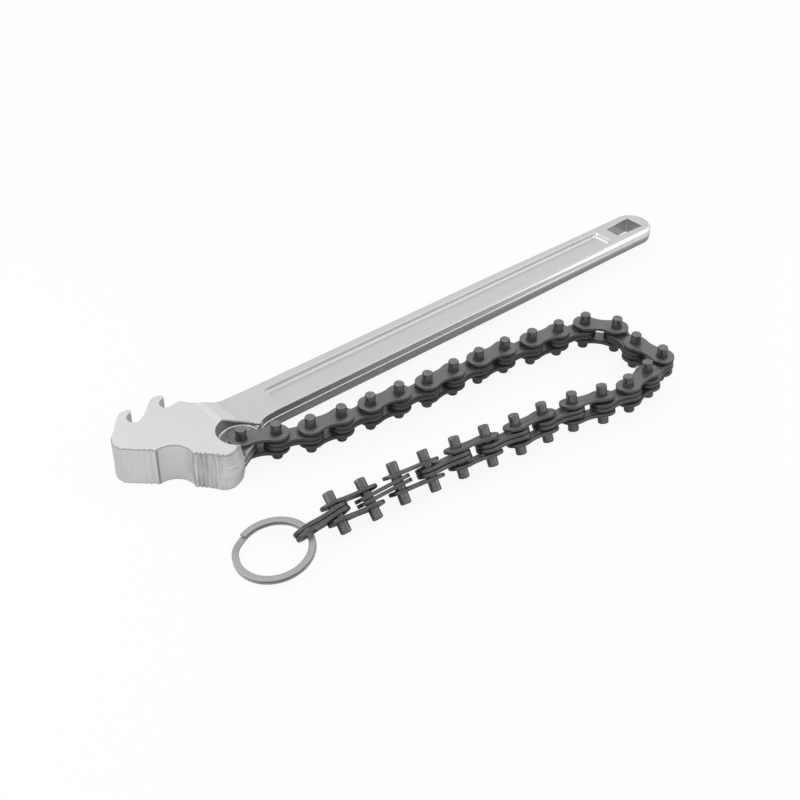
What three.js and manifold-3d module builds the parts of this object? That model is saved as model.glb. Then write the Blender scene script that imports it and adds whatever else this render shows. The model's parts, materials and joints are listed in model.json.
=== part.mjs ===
// A chain pipe wrench lying on a bench: one forging with a long recessed handle and a
// toothed, hooked head, a free leaf chain with long pins, and a split ring on its last link.
// Millimetres, +Z up. The origin is on the handle's centre line, on the flat underside of
// the head; +X runs along the handle to its tip, and the hooks point to +Y.

import * as THREE from 'three';
import { mergeVertices } from 'three/addons/utils/BufferGeometryUtils.js';
import Module from 'manifold-3d';

// Chain sizes
const pitch = 15.875;
const pinDiameter = 5.08;
const pinLength = 19.4;
const pinChamfer = 0.6;
const plateEndRadius = 6;
const plateWaist = 8.6;
const outerPlateThickness = 1.5;
const innerPlateThickness = 1.75;
const innerPlateGap = 0.4;
const plateSideGap = 1.15;
const pinPlay = 0.42;
const rivetPlay = 0.12;
const eyeRadius = 3.7;

// Head sizes
const headThickness = 19.4;
const headReach = 30.3;
const headSpan = 29.9;
const chainPinX = 18.9;
const chainPinY = -17.2;
const pocketClearance = 5.2;
const tonguePlay = 0.35;
const tongueBoss = 6.5;
const tongueRootRadius = 4.2;
const noseRadius = 6.6;
const noseEdgeRadius = 6;
const grooveRadius = 9.6;
const toothDepth = 0.8;
const notchPlay = 0.3;
const hookSpacing = 17;
const hookPinX = 5.6;
const hookPinY = 18.9;
const hookHeight = 6.3;
const slotPlay = 0.4;
const slotFloor = 11.6;
const slotEnd = 26;

// Places on the head's outline, as shares of headReach along X and of headSpan along Y
const rearPadShares = [[-0.944, 0.117], [-0.6, -0.208]];
const frontPadShares = [[-0.231, -0.605], [0.09, -0.962]];
const heelShares = [[-0.955, 0.448], [-0.99, 0.381], [-1, 0.286], [-0.985, 0.2]];
// The middle of the nose on the head's faces, and at mid-height, where the nose swells out
const noseShares = [0.185, -0.753];
const noseEdgeShares = [0.233, -0.827];
// The neck's lower curve, as shares of its run and its rise from the pocket's corner to the handle
const neckCurveShares = [[0.16, 0.52], [0.39, 0.83], [0.74, 0.98]];
// The neck's upper curve, as shares of its run and its climb from the handle to the front hook
const shoulderCurveShares = [[0.27, 0.03], [0.47, 0.18], [0.66, 0.43], [0.77, 0.71], [0.87, 0.97]];
// A hook's blunt crown, from the top of its wall outwards, as shares of half its seat's radius
const hookCrownShares = [[0, 0], [-1, 1], [-2.7, 1.6], [-4.1, 1.3]];
const shoulderShare = 0.45;
const tongueRootShare = 1.4;
// The lean of the hooks' walls, the mouth of each hook's seat, the end of the nose, the heading
// of the pocket's straight wall and the fall of the neck, in degrees
const hookWallLean = 66;
const hookMouthAngles = [-27, -30];
const noseEndAngle = 10;
const pocketWallAngle = -43;
const neckFallAngle = 28;

// Handle sizes
const handleWidth = 23.2;
const tipWidth = 22.2;
const handleThickness = 9.2;
const handleDraft = 0.3;
const handleEdge = 0.8;
const partingHeight = 2;
const partingProud = 0.15;
const tipCentreX = 298.8;
const neckStart = 15.5;
const neckFillet = 16;
const neckEnd = 46;
const neckCornerX = 31.8;
const neckCornerY = -14.3;
const shoulderStart = 17.5;
const recessStart = 47.5;
const recessEnd = 275.5;
const recessWidth = 12.6;
const recessDepth = 2.6;
const recessDraft = 0.8;
const recessCorner = 2.4;
const hangHoleStart = 282.7;
const hangHoleLength = 18.8;
const hangHoleNarrow = 9.2;
const hangHoleWide = 11.2;
const hangHoleCorner = 0.7;

// Split ring sizes
const ringDiameter = 35.4;
const ringWireWidth = 3;
const ringWireHeight = 0.95;
const ringTurnGap = 0.45;

// One overrun serves every cut
const overrun = 2;

// Counts
const linkPairs = 14;
const teethOnPad = 7;
const roundSides = 10;
const eyeSides = 20;
const plateEndSteps = 6;
const plateWaistSteps = 4;
const cornerSteps = 4;
const arcSteps = 8;
const neckSteps = 6;
const tipSteps = 28;
const ringSteps = 36;

// The way that the chain lies: its first heading, then the turn at each pin, in degrees
const firstHeadingAngle = -25;
const turnAngles = [
  2, 13, 4, -1, -1, 5, 0, -3, -6, 1, -3, -39, -49, 17,
  -78, -10, -16, -9, 8, 4, -4, 1, 1, 0, 3, -2, 7,
];
// The chain lies twisted: how far each pair of pins leans from upright, in degrees
const pairLeanAngles = [0, 0, 0, 0, 0, 0, 0, 1, 9, 17, 25, 32, 42, 54];
const eyeLeanAngle = 63;
// The ring: the bearing from its middle to the eye, its wire's ends, and the length of the step
// between its two turns, all in degrees
const ringEyeBearing = -7;
const ringSplitBearing = 148;
const ringJogAngle = 34;
const ringEndGapShare = 1.2;

const degree = Math.PI / 180;
const middle = headThickness / 2;
const pinRadius = pinDiameter / 2;

const wasm = await Module();
wasm.setup();

const finishes = {
  forging: { color: 0xc9cacb, roughness: 0.38, metalness: 0.85 },
  plate: { color: 0x5d5e60, roughness: 0.5, metalness: 0.8 },
  innerPlate: { color: 0x57585a, roughness: 0.52, metalness: 0.8 },
  pin: { color: 0x626365, roughness: 0.42, metalness: 0.85 },
  ring: { color: 0xb9babb, roughness: 0.3, metalness: 0.9 },
};

function toSolid(geometry) {
  const plain = geometry.clone();
  plain.deleteAttribute('normal');
  plain.deleteAttribute('uv');
  const merged = mergeVertices(plain);
  return new wasm.Manifold(new wasm.Mesh({
    numProp: 3,
    vertProperties: new Float32Array(merged.attributes.position.array),
    triVerts: new Uint32Array(merged.index.array),
  }));
}

function toGeometry(solid) {
  const mesh = solid.getMesh();
  const geometry = new THREE.BufferGeometry();
  geometry.setAttribute('position', new THREE.BufferAttribute(new Float32Array(mesh.vertProperties), 3));
  geometry.setIndex(new THREE.BufferAttribute(new Uint32Array(mesh.triVerts), 1));
  geometry.computeVertexNormals();
  return geometry;
}

function finish(name, geometry, look) {
  const mesh = new THREE.Mesh(geometry, new THREE.MeshStandardMaterial(look));
  mesh.name = name;
  return mesh;
}

// Points on an arc, from one angle to another, both ends included
function arcPoints(x, y, radius, from, to, steps) {
  const points = [];
  for (let i = 0; i <= steps; i += 1) {
    const angle = from + (to - from) * i / steps;
    points.push(new THREE.Vector2(x + radius * Math.cos(angle), y + radius * Math.sin(angle)));
  }
  return points;
}

// A flat outline raised from one height to another
function slab(points, bottom, top, holes = []) {
  const shape = new THREE.Shape(points);
  for (const hole of holes) shape.holes.push(new THREE.Path(hole));
  const geometry = new THREE.ExtrudeGeometry(shape, { depth: top - bottom, bevelEnabled: false });
  return geometry.translate(0, 0, bottom);
}

// A closed solid through a row of rings that all have as many points
function loft(rings) {
  const count = rings[0].length;
  const positions = rings.flat().flatMap((point) => [point.x, point.y, point.z]);
  const index = [];
  for (let r = 0; r < rings.length - 1; r += 1) {
    for (let i = 0; i < count; i += 1) {
      const a = r * count + i;
      const b = r * count + (i + 1) % count;
      index.push(a, b, b + count, a, b + count, a + count);
    }
  }
  const last = (rings.length - 1) * count;
  for (let i = 1; i < count - 1; i += 1) {
    index.push(0, i + 1, i);
    index.push(last, last + i, last + i + 1);
  }
  const geometry = new THREE.BufferGeometry();
  geometry.setAttribute('position', new THREE.Float32BufferAttribute(positions, 3));
  geometry.setIndex(index);
  return geometry;
}

// A rectangle with rounded corners, its middle at the origin
function roundedRectangle(length, width, radius) {
  const x = length / 2 - radius;
  const y = width / 2 - radius;
  const quarter = Math.PI / 2;
  return [
    ...arcPoints(x, y, radius, 0, quarter, cornerSteps),
    ...arcPoints(-x, y, radius, quarter, 2 * quarter, cornerSteps),
    ...arcPoints(-x, -y, radius, 2 * quarter, 3 * quarter, cornerSteps),
    ...arcPoints(x, -y, radius, 3 * quarter, 4 * quarter, cornerSteps),
  ];
}

// Two circles joined by the lines that touch both
function taperedBar(x1, y1, radius1, x2, y2, radius2) {
  const heading = Math.atan2(y2 - y1, x2 - x1);
  const spread = Math.acos((radius1 - radius2) / Math.hypot(x2 - x1, y2 - y1));
  return [
    ...arcPoints(x1, y1, radius1, heading + spread, heading + 2 * Math.PI - spread, 2 * arcSteps),
    ...arcPoints(x2, y2, radius2, heading - spread, heading + spread, 2 * arcSteps),
  ];
}

// Saw teeth cut square across the thickness, along a straight pad
function toothedPad(start, end) {
  const along = end.clone().sub(start);
  const inward = new THREE.Vector2(-along.y, along.x).normalize().multiplyScalar(toothDepth);
  const points = [start.clone()];
  for (let i = 0; i < teethOnPad; i += 1) {
    const root = start.clone().addScaledVector(along, (i + 0.5) / teethOnPad);
    points.push(root.add(inward));
    points.push(start.clone().addScaledVector(along, (i + 1) / teethOnPad));
  }
  return points;
}

// The concave relief between the pads, as the short arc that joins their ends
function reliefArc(start, end) {
  const half = start.distanceTo(end) / 2;
  const radius = Math.max(grooveRadius, half);
  const chord = end.clone().sub(start);
  const outward = new THREE.Vector2(chord.y, -chord.x).normalize();
  const centre = start.clone().add(end).multiplyScalar(0.5);
  centre.addScaledVector(outward, Math.sqrt(radius * radius - half * half));
  const from = Math.atan2(start.y - centre.y, start.x - centre.x);
  const sweep = 2 * Math.asin(half / radius);
  return arcPoints(centre.x, centre.y, radius, from, from - sweep, arcSteps).slice(1, -1);
}

// One hook of the head, from the seat of its pin to the crown's outer end, anticlockwise
function hookPoints(pinX, pinY, mouthAngle) {
  const seat = pinRadius + notchPlay;
  const lean = hookWallLean * degree;
  const wallAngle = lean + Math.PI / 2;
  const crown = seat / 2;
  const top = new THREE.Vector2(
    pinX + seat * Math.cos(wallAngle) + hookHeight * Math.cos(lean),
    pinY + seat * Math.sin(wallAngle) + hookHeight * Math.sin(lean),
  );
  return [
    ...arcPoints(pinX, pinY, seat, mouthAngle, wallAngle - 2 * Math.PI, arcSteps),
    ...hookCrownShares.map(([x, y]) => new THREE.Vector2(top.x + x * crown, top.y + y * crown)),
  ];
}

// A place on the head's outline from its shares
function onHead([shareX, shareY]) {
  return new THREE.Vector2(shareX * headReach, shareY * headSpan);
}

// The lower edge of the neck, from the pocket's corner to the handle's side
function neckCurve(side) {
  const run = neckEnd - neckCornerX;
  const rise = side - neckCornerY;
  return neckCurveShares.map(([x, y]) => new THREE.Vector2(neckCornerX + x * run, neckCornerY + y * rise));
}

// The upper edge of the neck, from the handle's side to the front hook
function shoulderCurve(side) {
  const seat = pinRadius + notchPlay;
  const run = shoulderStart - hookPinX - seat;
  const climb = hookPinY - shoulderShare * seat - side;
  return shoulderCurveShares.map(([x, y]) => new THREE.Vector2(shoulderStart - x * run, side + y * climb));
}

// The plan outline of the head and the neck, anticlockwise from the nose
function headOutline() {
  const [rearPadStart, rearPadEnd] = rearPadShares.map(onHead);
  const [frontPadStart, frontPadEnd] = frontPadShares.map(onHead);
  const [frontMouth, rearMouth] = hookMouthAngles.map((angle) => angle * degree);
  const nose = onHead(noseShares);
  const noseFrom = Math.atan2(frontPadEnd.y - nose.y, frontPadEnd.x - nose.x);
  const half = handleWidth / 2 - handleDraft;
  return [
    ...arcPoints(nose.x, nose.y, noseRadius, noseFrom, noseEndAngle * degree, arcSteps),
    new THREE.Vector2(chainPinX - pinRadius - notchPlay, chainPinY),
    new THREE.Vector2(neckCornerX, neckCornerY),
    ...neckCurve(-half),
    new THREE.Vector2(neckEnd + overrun, -half),
    new THREE.Vector2(neckEnd + overrun, half),
    new THREE.Vector2(shoulderStart, half),
    ...shoulderCurve(half),
    ...hookPoints(hookPinX, hookPinY, frontMouth),
    ...hookPoints(hookPinX - hookSpacing, hookPinY + notchPlay, rearMouth),
    ...heelShares.map(onHead),
    ...toothedPad(rearPadStart, rearPadEnd),
    ...reliefArc(rearPadEnd, frontPadStart),
    ...toothedPad(frontPadStart, frontPadEnd).slice(0, -1),
  ];
}

// The side view of the head and the neck, which falls in a straight ramp from an edge on the
// head's face and runs out into the handle's face in a long fillet
function neckProfile() {
  const drop = (headThickness - handleThickness) / 2;
  const fall = neckFallAngle * degree;
  const fillet = neckFillet * Math.tan(fall / 2);
  const endX = neckStart + drop / Math.tan(fall) + fillet;
  const filletZ = headThickness - drop + neckFillet;
  const upper = [
    new THREE.Vector2(neckStart, headThickness),
    ...arcPoints(endX, filletZ, neckFillet, -Math.PI / 2 - fall, -Math.PI / 2, neckSteps),
    new THREE.Vector2(neckEnd + 2 * overrun, headThickness - drop),
  ];
  const left = -headReach - overrun;
  const top = [new THREE.Vector2(left, headThickness), ...upper];
  const bottom = top.map((point) => new THREE.Vector2(point.x, headThickness - point.y));
  return [...bottom, ...top.reverse()];
}

// The nose and the tongue behind it: a bar that is widest at mid-height, its parting line
function noseBar() {
  const face = onHead(noseShares);
  const edge = onHead(noseEdgeShares);
  const boss = tongueBoss - (noseRadius - noseEdgeRadius);
  const faceBar = taperedBar(chainPinX, chainPinY, boss, face.x, face.y, noseRadius);
  const edgeBar = taperedBar(chainPinX, chainPinY, tongueBoss, edge.x, edge.y, noseEdgeRadius);
  const ring = (bar, z) => bar.map((point) => new THREE.Vector3(point.x, point.y, z));
  return toSolid(loft([ring(faceBar, 0), ring(edgeBar, middle), ring(faceBar, headThickness)]));
}

function headBlock() {
  const plan = toSolid(slab(headOutline(), 0, headThickness));
  const depth = 4 * headSpan;
  const side = new THREE.ExtrudeGeometry(new THREE.Shape(neckProfile()), { depth, bevelEnabled: false });
  side.rotateX(Math.PI / 2).translate(0, depth / 2, 0);
  return plan.intersect(toSolid(side)).add(noseBar());
}

// Half of the handle's section: flat faces, soft edges, and drafted sides with a trimmed parting
// band between them
function handleSection(width) {
  const half = width / 2;
  const low = middle - handleThickness / 2;
  const high = middle + handleThickness / 2;
  const side = half - handleDraft;
  const bandLow = middle - partingHeight / 2;
  const bandHigh = middle + partingHeight / 2;
  return [
    new THREE.Vector2(0, low),
    new THREE.Vector2(side - handleEdge, low),
    new THREE.Vector2(side, low + handleEdge),
    new THREE.Vector2(half - partingProud, bandLow),
    new THREE.Vector2(half, bandLow),
    new THREE.Vector2(half, bandHigh),
    new THREE.Vector2(half - partingProud, bandHigh),
    new THREE.Vector2(side, high - handleEdge),
    new THREE.Vector2(side - handleEdge, high),
    new THREE.Vector2(0, high),
  ];
}

function handleBar() {
  const ring = (x, width) => {
    const section = handleSection(width).slice(1, -1);
    const other = section.toReversed().map((point) => new THREE.Vector2(-point.x, point.y));
    return [...section, ...other].map((point) => new THREE.Vector3(x, point.x, point.y));
  };
  const bar = toSolid(loft([ring(neckEnd, handleWidth), ring(tipCentreX, tipWidth)]));
  const tip = new THREE.LatheGeometry(handleSection(tipWidth), tipSteps);
  tip.rotateX(Math.PI / 2).translate(tipCentreX, 0, 0);
  return bar.add(toSolid(tip));
}

// The long panel sunk into each face of the handle
function recess(side) {
  const length = recessEnd - recessStart;
  const face = middle + side * handleThickness / 2;
  const floor = face - side * recessDepth;
  const slope = recessDraft / recessDepth;
  const ring = (grow, z) => roundedRectangle(length + 2 * grow, recessWidth + 2 * grow, recessCorner + grow)
    .map((point) => new THREE.Vector3(point.x + recessStart + length / 2, point.y, z));
  const rings = [ring(-recessDraft, floor), ring(overrun * slope, face + side * overrun)];
  if (side < 0) rings.reverse();
  return toSolid(loft(rings));
}

// The hanging hole widens towards the tip, and its corners are rounded
function hangingHole() {
  const end = hangHoleStart + hangHoleLength;
  const slope = (hangHoleWide - hangHoleNarrow) / 2 / hangHoleLength;
  const lean = Math.atan(slope);
  const quarter = Math.PI / 2;
  const corner = (x, from, to) => {
    const wall = hangHoleNarrow / 2 + slope * (x - hangHoleStart);
    return arcPoints(x, wall - hangHoleCorner / Math.cos(lean), hangHoleCorner, from, to, cornerSteps);
  };
  const half = [
    ...corner(end - hangHoleCorner, 0, quarter + lean),
    ...corner(hangHoleStart + hangHoleCorner, quarter + lean, 2 * quarter),
  ];
  const other = half.toReversed().map((point) => new THREE.Vector2(point.x, -point.y));
  return toSolid(slab([...half, ...other], -overrun, headThickness + overrun));
}

// How far the chain's plates reach from its mid-plane
const innerStack = innerPlateGap / 2 + innerPlateThickness;
const outerPlateInside = innerStack + plateSideGap;
const outerPlateOutside = outerPlateInside + outerPlateThickness;
const tongueHalf = outerPlateInside - tonguePlay;

function disc(x, y, radius, bottom, top, sides) {
  const cylinder = new THREE.CylinderGeometry(radius, radius, top - bottom, sides);
  cylinder.rotateX(Math.PI / 2).translate(x, y, (top + bottom) / 2);
  return toSolid(cylinder);
}

// A round pocket for an outer plate, whose wall runs out straight beside the chain
function pocket(bottom, top) {
  const reach = plateEndRadius + pocketClearance;
  const round = disc(chainPinX, chainPinY, reach, bottom, top, 4 * roundSides);
  const exit = slab([
    new THREE.Vector2(0, 0),
    new THREE.Vector2(neckEnd, 0),
    new THREE.Vector2(neckEnd, reach),
    new THREE.Vector2(0, reach),
  ], bottom, top);
  return round.add(toSolid(exit.rotateZ(pocketWallAngle * degree).translate(chainPinX, chainPinY, 0)));
}

// The web that the first pin goes through, between two pockets for the outer plates
function withTongue(head) {
  const low = middle - tongueHalf;
  const high = middle + tongueHalf;
  const rootX = neckCornerX - tongueBoss;
  const rootY = neckCornerY + tongueRootShare * tongueBoss;
  const toNeck = taperedBar(chainPinX, chainPinY, tongueBoss, rootX, rootY, tongueRootRadius);
  const bore = pinRadius + pinPlay;
  const hole = disc(chainPinX, chainPinY, bore, -overrun, headThickness + overrun, 2 * roundSides);
  return head.subtract(pocket(high, headThickness + overrun)).subtract(pocket(-overrun, low))
    .add(toSolid(slab(toNeck, low, high)))
    .subtract(hole);
}

// The slot between the two rows of hooks, where the chain's plates drop in
function hookSlot() {
  const half = outerPlateOutside + slotPlay;
  const left = -headReach - overrun;
  const far = 2 * headSpan;
  return toSolid(slab([
    new THREE.Vector2(left, slotFloor),
    new THREE.Vector2(slotEnd, slotFloor),
    new THREE.Vector2(slotEnd, far),
    new THREE.Vector2(left, far),
  ], middle - half, middle + half));
}

function forging() {
  const body = withTongue(headBlock().subtract(hookSlot())).add(handleBar());
  const solid = body.subtract(recess(1)).subtract(recess(-1)).subtract(hangingHole());
  return finish('forged_handle_and_jaw', toGeometry(solid), finishes.forging);
}

// A link plate: two round ends and a waist drawn in between them by arcs that touch both
function plateOutline() {
  const half = pitch / 2;
  const waist = plateWaist / 2;
  const square = half * half + waist * waist - plateEndRadius * plateEndRadius;
  const radius = square / (2 * (plateEndRadius - waist));
  const centreY = waist + radius;
  const meet = Math.atan2(centreY, half);
  return [
    ...arcPoints(0, 0, plateEndRadius, meet, 2 * Math.PI - meet, plateEndSteps),
    ...arcPoints(half, -centreY, radius, Math.PI - meet, meet, plateWaistSteps).slice(1, -1),
    ...arcPoints(pitch, 0, plateEndRadius, meet - Math.PI, Math.PI - meet, plateEndSteps),
    ...arcPoints(half, centreY, radius, -meet, meet - Math.PI, plateWaistSteps).slice(1, -1),
  ];
}

function roundHole(x, radius, sides) {
  return arcPoints(x, 0, radius, 0, 2 * Math.PI, sides).slice(0, -1);
}

function pin(x) {
  const half = pinLength / 2;
  const profile = [
    new THREE.Vector2(0, -half),
    new THREE.Vector2(pinRadius - pinChamfer, -half),
    new THREE.Vector2(pinRadius, -half + pinChamfer),
    new THREE.Vector2(pinRadius, half - pinChamfer),
    new THREE.Vector2(pinRadius - pinChamfer, half),
    new THREE.Vector2(0, half),
  ];
  const geometry = new THREE.LatheGeometry(profile, roundSides);
  return toSolid(geometry.rotateX(Math.PI / 2).rotateZ(Math.PI / 2).translate(x, 0, 0));
}

// A lower outer plate with its two pins riveted in
function pinLinkGeometry() {
  const lower = toSolid(slab(plateOutline(), -outerPlateOutside, -outerPlateInside));
  return toGeometry(lower.add(pin(0)).add(pin(pitch)));
}

// How far the chain leans at a pin, counting from the head, or at the eye
function leanAt(index) {
  return (pairLeanAngles[Math.floor(index / 2)] ?? eyeLeanAngle) * degree;
}

// The height of a chain point whose link leans: the lowest pin end stays on the bench
function heightAtLean(lean) {
  const half = pinLength / 2;
  return middle - half + half * Math.cos(lean) + pinRadius * Math.sin(lean);
}

// The places of the pins, the eye for the ring last, worked out link by link from the head
function chainPoints() {
  const points = [];
  let heading = firstHeadingAngle * degree;
  let x = chainPinX;
  let y = chainPinY;
  for (let i = 0; i <= 2 * linkPairs; i += 1) {
    const lean = leanAt(i);
    points.push({ place: new THREE.Vector3(x, y, heightAtLean(lean)), lean });
    const rise = heightAtLean(leanAt(i + 1)) - heightAtLean(lean);
    const run = Math.sqrt(pitch * pitch - rise * rise);
    x += run * Math.cos(heading);
    y += run * Math.sin(heading);
    heading += (turnAngles[i] ?? 0) * degree;
  }
  return points;
}

// A group at a link's first pin, its X along the link and its Z along the link's pins
function linkFrame(from, to, lean) {
  const along = to.clone().sub(from).normalize();
  const flat = new THREE.Vector3(-along.y, along.x, 0).normalize();
  const up = new THREE.Vector3().crossVectors(along, flat);
  const axis = up.multiplyScalar(Math.cos(lean)).addScaledVector(flat, -Math.sin(lean));
  const across = new THREE.Vector3().crossVectors(axis, along);
  const group = new THREE.Group();
  group.setRotationFromMatrix(new THREE.Matrix4().makeBasis(along, across, axis));
  group.position.copy(from);
  return group;
}

function chain() {
  const whole = new THREE.Group();
  const points = chainPoints();
  const pinLink = pinLinkGeometry();
  const outline = plateOutline();
  const rivetHoles = [0, pitch].map((x) => roundHole(x, pinRadius + rivetPlay, roundSides));
  const cover = slab(outline, outerPlateInside, outerPlateOutside, rivetHoles);
  const firstHole = roundHole(0, pinRadius + pinPlay, roundSides);
  const secondHole = roundHole(pitch, pinRadius + pinPlay, roundSides);
  const eyeHole = roundHole(pitch, eyeRadius, eyeSides);
  const inside = innerPlateGap / 2;
  for (let pair = 1; pair <= linkPairs; pair += 1) {
    const number = String(pair).padStart(2, '0');
    const [first, second, third] = points.slice(2 * pair - 2, 2 * pair + 1);
    const outer = linkFrame(first.place, second.place, second.lean);
    outer.add(finish(`pin_link_${number}`, pinLink, finishes.pin));
    outer.add(finish(`cover_plate_${number}`, cover, finishes.plate));
    const inner = linkFrame(second.place, third.place, (second.lean + third.lean) / 2);
    const holes = [firstHole, pair === linkPairs ? eyeHole : secondHole];
    const upper = slab(outline, inside, innerStack, holes);
    const lower = slab(outline, -innerStack, -inside, holes);
    inner.add(finish(`inner_plate_upper_${number}`, upper, finishes.innerPlate));
    inner.add(finish(`inner_plate_lower_${number}`, lower, finishes.innerPlate));
    whole.add(outer, inner);
  }
  return { whole, eye: points[2 * linkPairs].place };
}

// The middle line of the split ring's wire: nearly two flat turns with one step up between them
function ringTurns() {
  const lift = ringWireHeight + ringTurnGap;
  const radius = (ringDiameter - ringWireWidth) / 2;
  const jog = ringJogAngle * degree;
  const start = ringSplitBearing * degree;
  const sweep = 4 * Math.PI - ringEndGapShare * jog;
  const points = [];
  for (let i = 0; i <= 2 * ringSteps; i += 1) {
    const angle = sweep * i / (2 * ringSteps);
    const share = Math.min(1, Math.max(0, (angle - sweep / 2) / jog + 0.5));
    const height = lift * (share * share * (3 - 2 * share) - 0.5);
    points.push({ angle: start + angle, height, radius });
  }
  return points;
}

// The four corners of the ring's flat wire at each step of its turns
function ringSections() {
  const corners = [[-1, -1], [-1, 1], [1, 1], [1, -1]];
  return ringTurns().map(({ angle, height, radius }) => corners.map(([sideways, upward]) => {
    const r = radius + sideways * ringWireWidth / 2;
    const z = height + upward * ringWireHeight / 2;
    return new THREE.Vector3(r * Math.cos(angle), r * Math.sin(angle), z);
  }));
}

// The least distance between corners of the two turns, more than half a turn apart along the wire
function leastRingGap(sections) {
  let least = Infinity;
  for (let i = 0; i < sections.length; i += 1) {
    for (let j = i + ringSteps / 2; j < sections.length; j += 1) {
      for (const near of sections[i]) {
        for (const far of sections[j]) least = Math.min(least, near.distanceTo(far));
      }
    }
  }
  return least;
}

// The ring lies tipped: its far rim is on the bench, and its near side goes through the eye
function splitRing(eye) {
  const sections = ringSections();
  console.log(`least gap between the ring's turns: ${leastRingGap(sections).toFixed(2)} mm`);
  const bearing = ringEyeBearing * degree;
  const toEye = new THREE.Vector3(Math.cos(bearing), Math.sin(bearing), 0);
  const hinge = new THREE.Vector3(-toEye.y, toEye.x, 0);
  const radius = (ringDiameter - ringWireWidth) / 2;
  const halfStack = ringWireHeight + ringTurnGap / 2;
  const tilt = Math.asin((eye.z - halfStack) / (radius + ringDiameter / 2));
  const group = new THREE.Group();
  group.setRotationFromAxisAngle(hinge, -tilt);
  group.position.copy(eye).sub(toEye.multiplyScalar(radius).applyQuaternion(group.quaternion));
  group.add(finish('split_ring', loft(sections), finishes.ring));
  return group;
}

const wrench = new THREE.Group();
const { whole, eye } = chain();
wrench.add(forging(), whole, splitRing(eye));

export default wrench;
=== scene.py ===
"""A chain pipe wrench lying on a pale bench: its handle and jaw, leaf chain and split ring."""
import json
import math

import bmesh
import bpy
import numpy as np
from mathutils import Matrix, Vector


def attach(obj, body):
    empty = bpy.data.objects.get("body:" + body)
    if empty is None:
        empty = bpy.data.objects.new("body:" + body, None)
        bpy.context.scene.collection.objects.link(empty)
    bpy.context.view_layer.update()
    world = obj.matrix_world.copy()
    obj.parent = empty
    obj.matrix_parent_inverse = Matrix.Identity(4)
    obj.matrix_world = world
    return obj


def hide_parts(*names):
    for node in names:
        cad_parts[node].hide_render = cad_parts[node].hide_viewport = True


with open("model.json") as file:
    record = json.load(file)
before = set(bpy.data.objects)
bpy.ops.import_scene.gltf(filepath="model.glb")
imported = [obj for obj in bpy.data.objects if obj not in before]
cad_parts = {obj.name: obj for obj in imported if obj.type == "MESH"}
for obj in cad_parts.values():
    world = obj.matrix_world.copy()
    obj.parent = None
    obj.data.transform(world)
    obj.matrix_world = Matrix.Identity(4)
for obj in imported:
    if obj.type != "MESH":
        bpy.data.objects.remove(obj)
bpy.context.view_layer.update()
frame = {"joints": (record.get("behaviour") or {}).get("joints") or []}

# Lengths in this script are millimetres until a mesh, lamp or camera is placed
MILLIMETRE = 0.001

# The chain
PITCH = 15.875
PIN_DIAMETER = 5.08
PIN_LENGTH = 19.4
PIN_CHAMFER = 0.6
PIN_CHAMFER_ROUND = 0.3
PIN_CHAMFER_BACK = 1.6
PIN_DIMPLE = 0.3
PIN_DIMPLE_SHARE = 0.4
PIN_DIMPLE_RIM_SHARE = 0.62
PIN_DIMPLE_RIM_DROP = 0.02
PLATE_END_RADIUS = 6.0
PLATE_WAIST = 8.6
OUTER_PLATE_THICKNESS = 1.5
INNER_PLATE_THICKNESS = 1.75
INNER_PLATE_GAP = 0.4
PLATE_SIDE_GAP = 1.15
PLATE_EDGE = 0.22
PIN_PLAY = 0.42
RIVET_PLAY = 0.06
EYE_RADIUS = 3.7
LINK_PAIRS = 14

# The forging
HEAD_THICKNESS = 19.4
HEAD_REACH = 30.3
HEAD_SPAN = 29.9
HOOK_SPACING = 17.0
HOOK_PIN = (5.6, 18.9)
NOTCH_PLAY = 0.3
SEAT_BEVEL_RADIUS = 4.35
SEAT_BEVEL_OFFSET = (-0.6, 0.75)
SEAT_BEVEL_FLOOR = 1.85
NOSE_RADIUS = 6.6
NOSE_EDGE_RADIUS = 6.0
NOSE_END = math.radians(10)
RELIEF_RADIUS = 9.6
RELIEF_CENTRE = (-16.28, -15.63)
CHAIN_PIN = (18.9, -17.2)
POCKET_CLEARANCE = 5.2
POCKET_WALL = math.radians(-43)
TONGUE_PLAY = 0.35
TONGUE_BOSS = 6.5
TONGUE_ROOT_RADIUS = 4.2
TONGUE_ROOT_SHARE = 1.4
SLOT_PLAY = 0.4
SLOT_FLOOR = 11.6
SLOT_END = 26.0
NECK_START = 15.5
NECK_FALL = math.radians(28)
NECK_FILLET = 16.0
NECK_END = 46.0
NECK_CORNER = (31.8, -14.3)
SHOULDER_START = 17.5
HANDLE_WIDTH = 23.2
TIP_WIDTH = 22.2
HANDLE_THICKNESS = 9.2
HANDLE_DRAFT = 0.5
BAND_HEIGHT = 2.0
BAND_PROUD = 0.35
BAND_SOFT = 0.3
TIP_CENTRE = 298.8
RECESS_START = 47.5
RECESS_END = 275.5
RECESS_WIDTH = 12.6
RECESS_DEPTH = 2.6
RECESS_DRAFT = 0.8
RECESS_CORNER = 2.4
HANG_START = 282.7
HANG_LENGTH = 18.8
HANG_NARROW = 9.2
HANG_WIDE = 11.2

# Places on the head's outline, as shares of HEAD_REACH along X and of HEAD_SPAN along Y
REAR_PAD_SHARES = ((-0.944, 0.117), (-0.6, -0.208))
FRONT_PAD_SHARES = ((-0.231, -0.605), (0.09, -0.962))
HEEL_SHARES = ((-0.955, 0.448), (-0.99, 0.381), (-1.0, 0.286), (-0.985, 0.2))
NOSE_SHARES = (0.185, -0.753)
NOSE_EDGE_SHARES = (0.233, -0.827)
NECK_CURVE_SHARES = ((0.16, 0.52), (0.39, 0.83), (0.74, 0.98))
SHOULDER_CURVE_SHARES = ((0.27, 0.03), (0.47, 0.18), (0.66, 0.43), (0.77, 0.71), (0.87, 0.97))

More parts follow.
